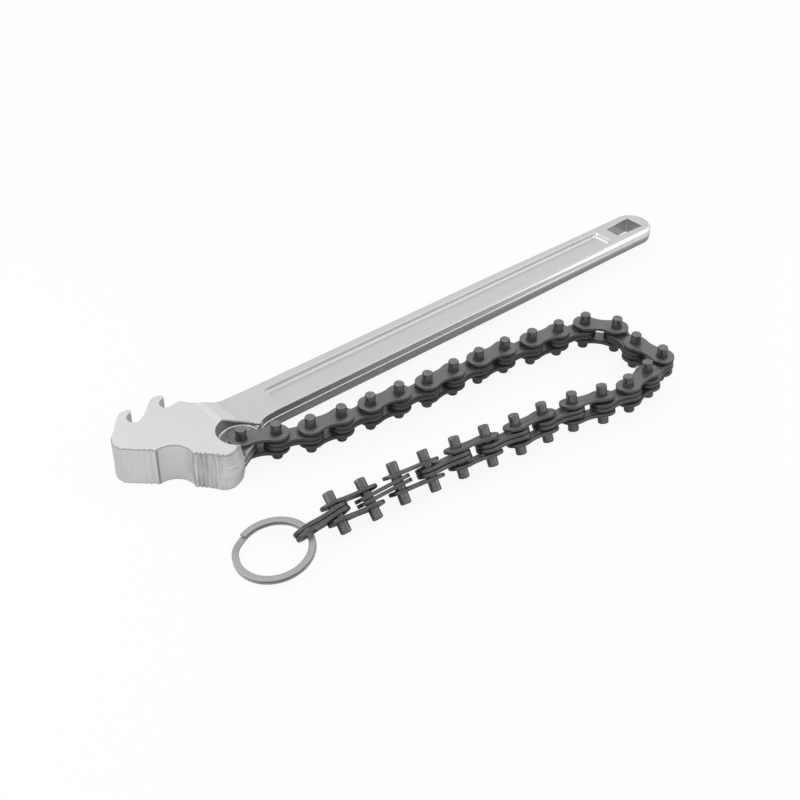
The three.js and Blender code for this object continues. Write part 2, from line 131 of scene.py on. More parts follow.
# Each notch from its mouth to the foot of its hook, then the hook's crown, from the pin it holds
FRONT_NOTCH = ((3.6, -1.5), (-0.3, -1.8), (-2.2, -2.1), (-2.9, -1.7), (-2.95, -0.5), (-2.6, 1.15))
FRONT_CROWN = (
    (0.25, 6.6), (-0.6, 7.55), (-1.6, 8.1), (-3.5, 8.45), (-5.6, 8.05), (-9.9, 4.15), (-12.0, 2.0),
)
REAR_NOTCH = ((2.3, -0.75), (-0.6, -2.45), (-2.1, -2.5), (-2.85, -1.9), (-2.95, -0.6), (-2.6, 1.15))
REAR_CROWN = (
    (0.2, 6.85), (-0.6, 7.5), (-1.55, 7.85), (-3.0, 8.05), (-5.05, 7.8), (-7.25, 6.0),
    (-10.25, 2.55), (-13.3, -0.9), (-16.2, -4.25),
)

# The grooves of the two toothed pads, as shares along the pad and depths
GROOVE_HALF_WIDTH = 0.055
REAR_GROOVES = (
    (-0.04, 0.5), (0.08, 0.55), (0.21, 0.4), (0.35, 0.35), (0.49, 0.4), (0.64, 0.5), (0.84, 0.8),
)
FRONT_GROOVES = (
    (0.12, 0.8), (0.25, 0.8), (0.38, 0.9), (0.5, 0.6), (0.62, 0.85), (0.76, 1.0), (0.92, 1.0),
)
NOSE_BLEND = 2.5
NOSE_SWELL = 0.3
SHOULDER_SHARE = 0.45

# The forging's rounded edges and fillets
HEAD_EDGE_ROUND = 0.3
HANDLE_EDGE_ROUND = 0.9
TIP_EDGE_ROUND = 2.3
TIP_ROUND_BEGINS = 190.0
TIP_ROUND_RUN = 90.0
TIP_BAND_SHARE = 0.3
BAND_BEGINS = 27.0
BAND_BEGINS_RUN = 4.0
CREASE_ROUND = 1.2
POCKET_DRAFT = 0.08
SLOT_ROUND = 0.9
POCKET_FILLET = 1.0
POCKET_RIM_ROUND = 0.45
TONGUE_FILLET = 1.3
TONGUE_EDGE_ROUND = 0.5
RECESS_FILLET = 0.8
RECESS_RIM_ROUND = 0.3
HOLE_ROUND = 0.5
HOLE_CORNER = 0.7

# The split ring
RING_DIAMETER = 35.4
RING_WIRE_WIDTH = 3.0
RING_WIRE_HEIGHT = 0.95
RING_TURN_GAP = 0.45
RING_EYE_BEARING = math.radians(-7)
RING_SPLIT_BEARING = math.radians(148)
RING_JOG = math.radians(34)
RING_END_GAP_SHARE = 1.2
RING_EDGE = 0.28
RING_RADIUS = (RING_DIAMETER - RING_WIRE_WIDTH) / 2

# Sides of the outline whose squared length is less than this are left out
SHORTEST_SIDE = 1e-9

# Where one of the forging's finishes gives way to the next
FLAT_LIP = 0.05
EDGE_DEPTH = 0.4
EDGE_REACH = 0.45
POCKET_LIP = 0.6
POCKET_LIP_DEPTH = 0.45
TONGUE_LIP = 0.4
TONGUE_REACH = 2
TONGUE_BEGINS = 8.5
HEAD_SIDE_SLOPE = 0.4
HEAD_SIDE_RISE = 12
HEAD_SIDE_INSET = 2
HEEL_CORNER = (-24, 14)
PAD_TAIL = 0.3
BEVEL_REACH = 0.1

MIDDLE = HEAD_THICKNESS / 2
PIN_RADIUS = PIN_DIAMETER / 2
HALF_WIDTH = HANDLE_WIDTH / 2 - BAND_PROUD
TIP_RADIUS = TIP_WIDTH / 2 - BAND_PROUD
HALF_THICKNESS = HANDLE_THICKNESS / 2
INNER_STACK = INNER_PLATE_GAP / 2 + INNER_PLATE_THICKNESS
OUTER_INSIDE = INNER_STACK + PLATE_SIDE_GAP
OUTER_OUTSIDE = OUTER_INSIDE + OUTER_PLATE_THICKNESS
TONGUE_HALF = OUTER_INSIDE - TONGUE_PLAY
SEAT = PIN_RADIUS + NOTCH_PLAY
SECOND_HOOK_PIN = (HOOK_PIN[0] - HOOK_SPACING, HOOK_PIN[1] + NOTCH_PLAY)
POCKET_REACH = PLATE_END_RADIUS + POCKET_CLEARANCE
SIDE_SLOPE = (HALF_WIDTH - TIP_RADIUS) / (TIP_CENTRE - NECK_END)

# The grid the forging is drawn on, along, across and up from its middle: start, end and step
GRID_X = (
    (-HEAD_REACH - 1, 6, 0.375), (6, NECK_END + 6, 0.475), (NECK_END + 6, RECESS_END - 6, 4),
    (RECESS_END - 6, TIP_CENTRE + HALF_WIDTH + 1, 0.475),
)
GRID_Y = ((-HEAD_SPAN - 2.5, -4, 0.375), (-4, 4, 0.8), (4, HEAD_SPAN + 0.5, 0.375))
GRID_UP = (
    (0, 0.8, 0.4), (0.8, 1.2, 0.1), (1.2, 3, 0.6), (3, 5, 0.25), (5, 8.4, 0.85),
    (8.4, MIDDLE + 0.6, 0.25),
)

# Wear and roughness: a level, then each noise's share; the chain's level differs by piece
SKIN_WEAR = (0.5, 0.5, 0.35)
SKIN_ROUGHNESS = (0.3, 0.12, 0.08)
CHAIN_ROUGHNESS_SHARES = (0.2, 0.16)
RING_ROUGHNESS = (0.42, 0.12, 0.06)
STREAK_DEPTH = 0.3
CHAIN_CLOUD_SHARE = 0.6
SCUFF_SHARE = 0.5
SCUFF_SMOOTHS = 0.12

# Where the skins' painted light and shade, their bright parting line and the chain's scuffs end,
# and how softly
RAMP = (23.5, 4)
HEADWARD = (170, 250)
UNDER_HALF = (MIDDLE, 3)
BAND = (BAND_HEIGHT / 2, 0.3)
LEDGE = (0.35, 0.3)
POCKET_FOOT_MIDDLE = POCKET_REACH - 0.6
POCKET_FOOT = (0.22, 0.2)
POCKET_LOW = (TONGUE_HALF + 0.75, 0.4)
TONGUE_SHADE = (MIDDLE - 0.3, 0.3)
TONGUE_LINE = (0.28, 0.15)
SCUFF = (0.58, 0.12)

# How strong the painted light and shade are
RAMP_PAINTED_LIGHT = 0.5
SIDE_TIP_PAINTED_LIGHT = 0.95
SIDE_UNDER_PAINTED_LIGHT = 0.33
BAND_PAINTED_SHADE = 0.65
LEDGE_PAINTED_HIGHLIGHT = 0.6
LEDGE_LEAST_PAINTED_HIGHLIGHT = 0.1
POCKET_FOOT_PAINTED_HIGHLIGHT = 0.8

# The tilt that parts a plate's faces from its sides
FACE_TILT = 0.45


# Shader maths


class Wire:
    """One output socket, so that sums of sockets read as sums."""

    def __init__(self, tree, socket):
        self.tree = tree
        self.socket = socket

    def maths(self, operation, *values, clamp=False):
        node = self.tree.nodes.new("ShaderNodeMath")
        node.operation = operation
        node.use_clamp = clamp
        for slot, value in zip(node.inputs, values):
            if isinstance(value, Wire):
                self.tree.links.new(value.socket, slot)
            else:
                slot.default_value = value
        return Wire(self.tree, node.outputs[0])

    def __add__(self, other):
        return self.maths("ADD", self, other)

    __radd__ = __add__

    def __sub__(self, other):
        return self.maths("SUBTRACT", self, other)

    def __rsub__(self, other):
        return self.maths("SUBTRACT", other, self)

    def __mul__(self, other):
        return self.maths("MULTIPLY", self, other)

    __rmul__ = __mul__

    def __abs__(self):
        return self.maths("ABSOLUTE", self)

    def under(self, limit, soft):
        """One where the value is under the limit, nought past it, with a soft edge."""
        return self.maths("MULTIPLY_ADD", self, -1 / soft, limit / soft + 0.5, clamp=True)


class Finish:
    """A material whose nodes all come from one method."""

    def __init__(self, name):
        self.material = bpy.data.materials.new(name)
        self.material.use_nodes = True
        self.tree = self.material.node_tree
        self.tree.nodes.clear()

    def node(self, kind, settings=None, sockets=None, output=0):
        node = self.tree.nodes.new(kind)
        for name, value in (settings or {}).items():
            setattr(node, name, value)
        for name, value in (sockets or {}).items():
            if isinstance(value, Wire):
                self.tree.links.new(value.socket, node.inputs[name])
            else:
                node.inputs[name].default_value = value
        return Wire(self.tree, node.outputs[output]) if node.outputs else None

    def place(self):
        return self.node("ShaderNodeTexCoord", output="Object")

    def axes(self, place):
        """The three coordinates of a place, in millimetres."""
        parts = self.tree.nodes.new("ShaderNodeSeparateXYZ")
        self.tree.links.new(place.socket, parts.inputs[0])
        return [Wire(self.tree, output) * (1 / MILLIMETRE) for output in parts.outputs]

    def stretched(self, place, scale):
        sockets = {"Vector": place, "Scale": scale}
        return self.node("ShaderNodeMapping", {"vector_type": "POINT"}, sockets)

    def noise(self, place, size, detail=2.0, roughness=0.5):
        sockets = {"Vector": place, "Scale": 1 / (size * MILLIMETRE), "Detail": detail}
        sockets["Roughness"] = roughness
        return self.node("ShaderNodeTexNoise", {"noise_dimensions": "3D"}, sockets)

    def blend(self, share, first, second):
        """A mix of two colours by a share."""
        sockets = {"Factor": share, 6: first, 7: second}
        return self.node("ShaderNodeMix", {"data_type": "RGBA"}, sockets, output=2)

    def bump(self, height, depth, strength=0.5, normal=None):
        sockets = {"Height": height, "Distance": depth * MILLIMETRE, "Strength": strength}
        if normal is not None:
            sockets["Normal"] = normal
        return self.node("ShaderNodeBump", {}, sockets)

    def surface(self, sockets):
        shader = self.node("ShaderNodeBsdfPrincipled", {}, sockets)
        self.node("ShaderNodeOutputMaterial", {}, {"Surface": shader})
        return self.material


def grey(level, warmth=0.0):
    return (level * (1 + warmth), level, level * (1 - warmth), 1.0)


def swayed(level, *pairs):
    """A level that noises sway about itself, each by its share."""
    for noise, share in pairs:
        level = (noise - 0.5) * share + level
    return level


def blasted(name, dark, light, streaks=0.0, coarse=1.0):
    """A blasted and plated forging's skin: mottling and grain, and upright streaks on the teeth."""
    finish = Finish(name)
    place = finish.place()
    mottle = finish.noise(place, size=9, detail=3, roughness=0.55)
    grain = finish.noise(place, size=0.5, detail=3, roughness=0.65)
    pits = finish.noise(place, size=2.2)
    upright = finish.stretched(place, scale=(1, 1, 0.06))
    streak = finish.noise(upright, size=0.8, detail=3, roughness=0.6)
    level, *shares = SKIN_WEAR
    worn = swayed(level, *zip((mottle, grain, streak), (*shares, streaks)))
    level, *shares = SKIN_ROUGHNESS
    rough = swayed(level, *zip((mottle, grain), shares))
    relief = finish.bump(pits, depth=0.04 * coarse)
    relief = finish.bump(grain, depth=0.018 * coarse, normal=relief)
    relief = finish.bump(streak, STREAK_DEPTH * streaks, strength=0.6, normal=relief)
    tone = finish.blend(worn, grey(dark), grey(light, warmth=0.004))
    return finish, place, tone, {"Metallic": 0.88, "Roughness": rough, "Normal": relief}


def skin_finish():
    """The forging's plated skin, with painted light over the head and the short ramp behind it."""
    finish, place, tone, sockets = blasted("plated_skin", dark=0.57, light=0.66)
    along = finish.axes(place)[0]
    # Painted light: the skin blends towards near white as far as the ramp's end
    tone = finish.blend(along.under(*RAMP) * RAMP_PAINTED_LIGHT, tone, grey(0.95))
    return finish.surface({"Base Color": tone, **sockets})


def side_finish():
    """The handle's sides, a darker copy of the skin as painted shade: painted light towards the tip
    and on the lower half, painted shade on the band and a painted highlight on its upper ledge.
    """
    # Painted shade: the sides are a darker copy of the skin
    finish, place, tone, sockets = blasted("handle_side", dark=0.26, light=0.32)
    along, _, height = finish.axes(place)
    headward = along.under(*HEADWARD)
    above = 1 - height.under(*UNDER_HALF)
    # Painted light: the upper half brightens towards the tip
    tone = finish.blend((1 - headward) * above * SIDE_TIP_PAINTED_LIGHT, tone, grey(1.0))
    # Painted light: the lower half is lightened
    tone = finish.blend((1 - above) * SIDE_UNDER_PAINTED_LIGHT, tone, grey(0.55))
    from_middle = abs(height - MIDDLE)
    # Painted shade: the band darkens towards the head
    tone = finish.blend(from_middle.under(*BAND) * headward * BAND_PAINTED_SHADE, tone, grey(0.3))
    # Painted highlight along the band's upper ledge
    ledge = abs(from_middle - BAND_HEIGHT / 2).under(*LEDGE) * above
    tone = finish.blend(ledge * (headward * LEDGE_PAINTED_HIGHLIGHT + LEDGE_LEAST_PAINTED_HIGHLIGHT), tone, grey(1.0))
    return finish.surface({"Base Color": tone, **sockets})


def plain_finish(name, changed=None, **numbers):
    """A blasted skin that is the same all over."""
    finish, _, tone, sockets = blasted(name, **numbers)
    return finish.surface({"Base Color": tone, **sockets, **(changed or {})})


def pocket_finish():
    """The pockets, dark with painted shade and the chain's oil, with a painted highlight on the
    fillet round the foot of their wall.
    """
    # Painted shade and oil: a dark copy of the skin
    finish, place, tone, sockets = blasted("oily_painted_shade_pocket", dark=0.26, light=0.42)
    along, across, height = finish.axes(place)
    dx, dy = along - CHAIN_PIN[0], across - CHAIN_PIN[1]
    from_pin = dx.maths("SQRT", dx * dx + dy * dy)
    # Painted highlight along the fillet at the foot of the pocket's wall
    foot = abs(from_pin - POCKET_FOOT_MIDDLE).under(*POCKET_FOOT)
    low = abs(height - MIDDLE).under(*POCKET_LOW)
    tone = finish.blend(foot * low * POCKET_FOOT_PAINTED_HIGHLIGHT, tone, grey(0.95))
    return finish.surface({"Base Color": tone, **sockets})


def tongue_finish():
    """The tongue's side, a darker copy of the skin as painted shade: grey above its bright parting
    line, with deeper painted shade below it.
    """
    finish, place, tone, sockets = blasted("tongue_side", dark=0.3, light=0.42)
    height = finish.axes(place)[2]
    # Painted shade below the parting line
    tone = finish.blend(height.under(*TONGUE_SHADE), tone, grey(0.12))
    tone = finish.blend(abs(height - MIDDLE).under(*TONGUE_LINE), tone, grey(1.0))
    return finish.surface({"Base Color": tone, **sockets})


def chain_finish(name, dark, light, roughness):
    """Oiled, heat-darkened chain steel with soft clouding, fine grain and small scuffs."""
    finish = Finish(name)
    place = finish.place()
    cloud = finish.noise(place, size=5, detail=3)
    grain = finish.noise(place, size=0.35, detail=3, roughness=0.6)
    squeezed = finish.stretched(place, scale=(1, 1, 3))
    scuff = finish.noise(squeezed, size=1.3, detail=4, roughness=0.7)
    worn = (1 - scuff.under(*SCUFF)) * SCUFF_SHARE
    tone = finish.blend(cloud * CHAIN_CLOUD_SHARE + worn, grey(dark), grey(light, warmth=0.006))
    rough = swayed(roughness, *zip((cloud, grain), CHAIN_ROUGHNESS_SHARES)) - worn * SCUFF_SMOOTHS
    relief = finish.bump(grain, depth=0.03)
    return finish.surface({
        "Base Color": tone, "Metallic": 0.75, "Roughness": rough, "Normal": relief,
    })


def ring_finish():
    """Nickel-plated spring wire, faintly clouded."""
    finish = Finish("nickel_wire")
    place = finish.place()
    cloud = finish.noise(place, size=6)
    grain = finish.noise(place, size=0.4, detail=3)
    tone = finish.blend(cloud, grey(0.36), grey(0.42, warmth=0.004))
    level, *shares = RING_ROUGHNESS
    return finish.surface({
        "Base Color": tone, "Metallic": 0.8, "Normal": finish.bump(cloud, depth=0.01, strength=0.4),
        "Roughness": swayed(level, *zip((cloud, grain), shares)),
    })


DULL = {"Metallic": 0.35, "Roughness": 0.7}
SKIN, FLAT, SIDE, PAINTED_LIGHT_SIDE, REAR_PAD, FRONT_PAD, POCKET, TONGUE, EDGE = range(9)


def forging_finishes():
    """The forging's finishes by number; the painted-light side is heel, relief, nose and the
    recess's end wall.
    """
    return {
        SKIN: skin_finish(),
        FLAT: plain_finish("ground_flat", dark=0.68, light=0.74, coarse=0.3),
        SIDE: side_finish(),
        # Painted light: a brighter copy of the skin on the sides that face the lamps
        PAINTED_LIGHT_SIDE: plain_finish("painted_light_side", dark=0.8, light=0.9),
        # The pads: brighter copies of the skin as painted light, the rear one lighter than the
        # front, with streaks of wear
        REAR_PAD: plain_finish("rear_pad", dark=0.77, light=0.95, streaks=0.7),
        FRONT_PAD: plain_finish("front_pad", dark=0.5, light=1.0, streaks=2.0),
        POCKET: pocket_finish(),
        TONGUE: tongue_finish(),
        # Painted shade on the head's top edges, rims, relief corners and seat bevels
        EDGE: plain_finish("dull_painted_shade_edge", DULL, dark=0.34, light=0.46),
    }


# Mesh helpers


def make_object(name, data):
    piece = bpy.data.objects.new(name, data)
    bpy.context.scene.collection.objects.link(piece)
    return piece


def mesh_from(name, points, faces):
    mesh = bpy.data.meshes.new(name)
    mesh.from_pydata([tuple(point) for point in points], [], faces)
    mesh.validate()
    mesh.update()
    return mesh


def smooth(mesh, angle):
    """Smooth shading, but for joins steeper than an angle in degrees."""
    for polygon in mesh.polygons:
        polygon.use_smooth = True
    mesh.set_sharp_from_angle(angle=math.radians(angle))


def plain_mesh(piece):
    """The evaluated shape of an object as a plain mesh."""
    graph = bpy.context.evaluated_depsgraph_get()
    graph.update()
    return bpy.data.meshes.new_from_object(piece.evaluated_get(graph), depsgraph=graph)


def close_up(mesh):
    """Joins points that meet, and turns all the faces outward."""
    shape = bmesh.new()
    shape.from_mesh(mesh)
    bmesh.ops.remove_doubles(shape, verts=shape.verts, dist=0.001)
    bmesh.ops.recalc_face_normals(shape, faces=shape.faces)
    shape.to_mesh(mesh)
    shape.free()


def arc(centre, radius, start, end, steps):
    angles = np.linspace(start, end, steps + 1)
    return [(centre[0] + radius * math.cos(a), centre[1] + radius * math.sin(a)) for a in angles]


def through(points, steps):
    """A smooth run of points through the given ones."""
    path = [np.array(point, float) for point in points]
    path = [2 * path[0] - path[1]] + path + [2 * path[-1] - path[-2]]
    run = []
    for a, b, c, d in zip(path, path[1:], path[2:], path[3:]):
        for t in np.arange(steps) / steps:
            pull = 2 * b + (c - a) * t + (2 * a - 5 * b + 4 * c - d) * t * t
            run.append((pull + (3 * b - a - 3 * c + d) * t ** 3) / 2)
    return [tuple(point) for point in run] + [tuple(path[-2])]


# The forging's plan outline


def on_head(share):
    return (share[0] * HEAD_REACH, share[1] * HEAD_SPAN)


def toothed_pad(start, end, grooves):
    """A flat pad between two places, with the worn grooves across it."""
    start, end = np.array(start), np.array(end)
    along = end - start
    inward = np.array((-along[1], along[0])) / np.linalg.norm(along)
    points = []
    for share, depth in grooves:
        for aside, deep in ((-GROOVE_HALF_WIDTH, 0), (0, depth), (GROOVE_HALF_WIDTH, 0)):
            points.append(tuple(start + along * (share + aside) + inward * deep))
    return points + [tuple(end)]


def relief_arc(start, end):
    start, end = np.array(start), np.array(end)
    chord = end - start
    half = np.linalg.norm(chord) / 2
    outward = np.array((chord[1], -chord[0])) / (2 * half)
    centre = (start + end) / 2 + outward * math.sqrt(RELIEF_RADIUS ** 2 - half ** 2)
    begin = math.atan2(start[1] - centre[1], start[0] - centre[0])
    finish = begin - 2 * math.asin(half / RELIEF_RADIUS)
    return arc(centre, RELIEF_RADIUS, begin, finish, steps=24)[1:-1]


def hook(pin, notch, crown):
    """The notch that a chain pin drops into, the wall that leans over it and the hook's crown."""
    runs = [[(pin[0] + x, pin[1] + y) for x, y in run] for run in (notch, crown)]
    return through(runs[0], steps=4) + through(runs[1], steps=4)


def head_outline():
    """Anticlockwise from the nose, closed well inside the handle."""
    rear_start, rear_end = (on_head(share) for share in REAR_PAD_SHARES)
    front_start, front_end = (on_head(share) for share in FRONT_PAD_SHARES)
    nose = on_head(NOSE_SHARES)
    nose_from = math.atan2(front_end[1] - nose[1], front_end[0] - nose[0])
    run, rise = NECK_END - NECK_CORNER[0], -HALF_WIDTH - NECK_CORNER[1]
    neck = [(NECK_CORNER[0] + x * run, NECK_CORNER[1] + y * rise) for x, y in NECK_CURVE_SHARES]
    run = SHOULDER_START - HOOK_PIN[0] - SEAT
    climb = HOOK_PIN[1] - SHOULDER_SHARE * SEAT - HALF_WIDTH
    shares = SHOULDER_CURVE_SHARES
    shoulder = [(SHOULDER_START - x * run, HALF_WIDTH + y * climb) for x, y in shares]
    inside_handle = NECK_END + HANDLE_WIDTH
    return (
        arc(nose, NOSE_RADIUS, nose_from, NOSE_END, steps=16)
        + [(CHAIN_PIN[0] - SEAT, CHAIN_PIN[1])]
        + through([NECK_CORNER] + neck + [(NECK_END, -HALF_WIDTH)], steps=5)
        + [(inside_handle, -HALF_WIDTH), (inside_handle, HALF_WIDTH)]
        + through([(NECK_END, HALF_WIDTH), (SHOULDER_START, HALF_WIDTH)] + shoulder, steps=5)
        + hook(HOOK_PIN, FRONT_NOTCH, FRONT_CROWN)
        + hook(SECOND_HOOK_PIN, REAR_NOTCH, REAR_CROWN)
        + through([on_head(share) for share in HEEL_SHARES], steps=4)
        + toothed_pad(rear_start, rear_end, REAR_GROOVES)
        + relief_arc(rear_end, front_start)
        + [front_start] + toothed_pad(front_start, front_end, FRONT_GROOVES)[:-1]
    )


# The forging as a distance field, whose rounded meets and joins are its edges and fillets


def outline_distance(x, y, outline):
    """Signed distance to a closed outline, negative inside."""
    points = np.array(outline, float)
    best = np.full(x.shape, np.inf)
    inside = np.zeros(x.shape, bool)
    for (ax, ay), (bx, by) in zip(points, np.roll(points, -1, axis=0)):
        ex, ey = bx - ax, by - ay
        length = ex * ex + ey * ey
        if length < SHORTEST_SIDE:
            continue
        px, py = x - ax, y - ay
        share = np.clip((px * ex + py * ey) / length, 0, 1)
        best = np.minimum(best, (px - ex * share) ** 2 + (py - ey * share) ** 2)
        crosses = (ay > y) != (by > y)
        if ey != 0:
            inside ^= crosses & (px < ex * py / ey)
    return np.where(inside, -1, 1) * np.sqrt(best)


def round_meet(a, b, radius):
    """What lies in both, with its edge rounded."""
    outer = np.hypot(np.maximum(a + radius, 0), np.maximum(b + radius, 0))
    return np.minimum(-radius, np.maximum(a, b)) + outer


def round_join(a, b, radius):
    """What lies in either, with a fillet between them."""
    inner = np.hypot(np.maximum(radius - a, 0), np.maximum(radius - b, 0))
    return np.maximum(radius, np.minimum(a, b)) - inner


def soft_join(a, b, reach):
    """What lies in either, swelling a little where they pass each other."""
    near = np.maximum(reach - np.abs(a - b), 0) / reach
    return np.minimum(a, b) - near * near * reach / 4 * NOSE_SWELL


def rounded_box(x, y, centre_x, half_length, half_width, corner):
    over_x = np.abs(x - centre_x) - half_length + corner
    over_y = np.abs(y) - half_width + corner
    outside = np.hypot(np.maximum(over_x, 0), np.maximum(over_y, 0))
    return outside + np.minimum(np.maximum(over_x, over_y), 0) - corner


def tapered_bar(x, y, start, start_radius, end, end_radius):
    ex, ey = end[0] - start[0], end[1] - start[1]
    share = np.clip(((x - start[0]) * ex + (y - start[1]) * ey) / (ex * ex + ey * ey), 0, 1)
    reach = np.hypot(x - start[0] - share * ex, y - start[1] - share * ey)
    return reach - (start_radius + (end_radius - start_radius) * share)


def eased(share):
    share = np.clip(share, 0, 1)
    return share * share * (3 - 2 * share)


def neck_top(x, up):
    """Distance to the upper face: the head's flat, a straight fall and a fillet to the handle."""
    drop = MIDDLE - HALF_THICKNESS
    end = NECK_START + drop / math.tan(NECK_FALL) + NECK_FILLET * math.tan(NECK_FALL / 2)
    ramp = (up - MIDDLE + np.tan(NECK_FALL) * (x - NECK_START)) * math.cos(NECK_FALL)
    fillet = NECK_FILLET - np.hypot(x - end, np.minimum(up - HALF_THICKNESS - NECK_FILLET, 0))
    on_fillet = (end - x) < NECK_FILLET * math.sin(NECK_FALL)
    fall = np.where(x > end, up - HALF_THICKNESS, np.where(on_fillet, fillet, ramp))
    return round_meet(up - MIDDLE, fall, CREASE_ROUND)


def toward_tip(x):
    """Nought along the handle, rising to one at its tip."""
    return eased((x - TIP_ROUND_BEGINS) / TIP_ROUND_RUN)


class Forging:
    """The handle and jaw, as a function that is negative inside the metal."""

    def __init__(self):
        self.outline = head_outline()
        root_rise = TONGUE_ROOT_SHARE * TONGUE_BOSS
        self.tongue_root = (NECK_CORNER[0] - TONGUE_BOSS, NECK_CORNER[1] + root_rise)

    def plan(self, x, y):
        handle = tapered_bar(x, y, (NECK_END, 0), HALF_WIDTH, (TIP_CENTRE, 0), TIP_RADIUS)
        near_head = x < NECK_END + HANDLE_WIDTH
        head = np.full(x.shape, HANDLE_WIDTH)
        head[near_head] = outline_distance(x[near_head], y[near_head], self.outline)
        return np.minimum(head, handle)

    def nose_bar(self, x, y, up):
        """The nose and the tongue behind it, which swell out to their parting line."""
        share = 1 - np.minimum(up / MIDDLE, 1)
        face, edge = (np.array(on_head(place)) for place in (NOSE_SHARES, NOSE_EDGE_SHARES))
        end = [face[axis] + (edge[axis] - face[axis]) * share for axis in (0, 1)]
        spread = NOSE_RADIUS + (NOSE_EDGE_RADIUS - NOSE_RADIUS) * share
        boss = TONGUE_BOSS - (NOSE_RADIUS - NOSE_EDGE_RADIUS) * (1 - share)
        return tapered_bar(x, y, CHAIN_PIN, boss, end, spread)

    def pocket_plan(self, x, y):
        """A circle about the chain's first pin that runs out straight beside the chain."""
        dx, dy = x - CHAIN_PIN[0], y - CHAIN_PIN[1]
        along = dx * math.cos(POCKET_WALL) + dy * math.sin(POCKET_WALL)
        aside = dy * math.cos(POCKET_WALL) - dx * math.sin(POCKET_WALL)
        way_out = np.maximum(np.maximum(-along, -aside), aside - POCKET_REACH)
        return np.minimum(np.hypot(dx, dy) - POCKET_REACH, way_out)

    def seat_bevels(self, x, y, up):
        """The bevels that guide a chain pin in at the foot of each hook."""
        cut = np.inf
        for pin in (HOOK_PIN, SECOND_HOOK_PIN):
            aside = np.hypot(x - pin[0] - SEAT_BEVEL_OFFSET[0], y - pin[1] - SEAT_BEVEL_OFFSET[1])
            cone = (aside - SEAT_BEVEL_RADIUS + MIDDLE - up) / math.sqrt(2)
            limits = np.maximum(pin[1] - SEAT_BEVEL_FLOOR - y, x - pin[0])
            cut = np.minimum(cut, np.maximum(cone, limits))
        return cut

    def hole_plan(self, x, y):
        end = HANG_START + HANG_LENGTH
        slope = (HANG_WIDE - HANG_NARROW) / 2 / HANG_LENGTH
        side = np.abs(y) - HANG_NARROW / 2 - slope * (x - HANG_START)
        ends = np.maximum(HANG_START - x, x - end)
        return round_meet(side / math.hypot(1, slope), ends, HOLE_CORNER)

    def distance(self, x, y, z, plan=None, pocket=None):
        plan = self.plan(x, y) if plan is None else plan
        pocket = self.pocket_plan(x, y) if pocket is None else pocket
        up = np.abs(z - MIDDLE)
        on_handle = eased((x - NECK_START) / (NECK_END - NECK_START))
        draft = (HANDLE_DRAFT - BAND_PROUD) / HALF_THICKNESS * on_handle
        band = BAND_PROUD * eased((BAND_HEIGHT / 2 - up) / BAND_SOFT + 0.5)
        band = band * eased((x - BAND_BEGINS) / BAND_BEGINS_RUN)
        band = band * (1 - (1 - TIP_BAND_SHARE) * toward_tip(x))
        nose = self.nose_bar(x, y, up)
        sides = soft_join(plan + draft * up - band, nose - band, NOSE_BLEND)
        rounding = HEAD_EDGE_ROUND + (HANDLE_EDGE_ROUND - HEAD_EDGE_ROUND) * on_handle
        rounding = rounding + (TIP_EDGE_ROUND - HANDLE_EDGE_ROUND) * toward_tip(x)
        body = round_meet(sides, neck_top(x, up), rounding)
        body = np.maximum(body, -self.seat_bevels(x, y, up))

        slot = np.maximum(SLOT_FLOOR - y, x - SLOT_END)
        slot = round_meet(slot, up - OUTER_OUTSIDE - SLOT_PLAY, SLOT_ROUND)
        body = round_meet(body, -slot, POCKET_RIM_ROUND)

        well = round_meet(pocket + POCKET_DRAFT * (MIDDLE - up), TONGUE_HALF - up, POCKET_FILLET)
        body = round_meet(body, -well, POCKET_RIM_ROUND)
        to_neck = tapered_bar(x, y, CHAIN_PIN, TONGUE_BOSS, self.tongue_root, TONGUE_ROOT_RADIUS)
        web = round_meet(np.minimum(nose, to_neck) - band, up - TONGUE_HALF, TONGUE_EDGE_ROUND)
        body = round_join(body, web, TONGUE_FILLET)
        from_pin = np.hypot(x - CHAIN_PIN[0], y - CHAIN_PIN[1])
        body = round_meet(body, PIN_RADIUS + PIN_PLAY - from_pin, HOLE_ROUND / 2)

        middle, half_length = (RECESS_START + RECESS_END) / 2, (RECESS_END - RECESS_START) / 2
        panel = rounded_box(x, y, middle, half_length, RECESS_WIDTH / 2, RECESS_CORNER)
        slope = RECESS_DRAFT / RECESS_DEPTH
        panel = (panel + slope * (HALF_THICKNESS - up)) / math.hypot(1, slope)
        panel = round_meet(panel, HALF_THICKNESS - RECESS_DEPTH - up, RECESS_FILLET)
        body = round_meet(body, -panel, RECESS_RIM_ROUND)
        return round_meet(body, -self.hole_plan(x, y), HOLE_ROUND)


def stepped(*runs):
    """Grid lines from (start, end, step) runs that follow each other."""
    lines = [np.arange(start, end, step) for start, end, step in runs]
    return np.concatenate(lines + [[runs[-1][1]]])


def crossings(field, axis):
    """The grid steps along an axis that the surface crosses, and the field on both sides."""
    low = np.take(field, range(field.shape[axis] - 1), axis)
    high = np.take(field, range(1, field.shape[axis]), axis)
    crossed = np.argwhere((low < 0) != (high < 0))
    at = tuple(crossed.T)
    return crossed, low[at], high[at]


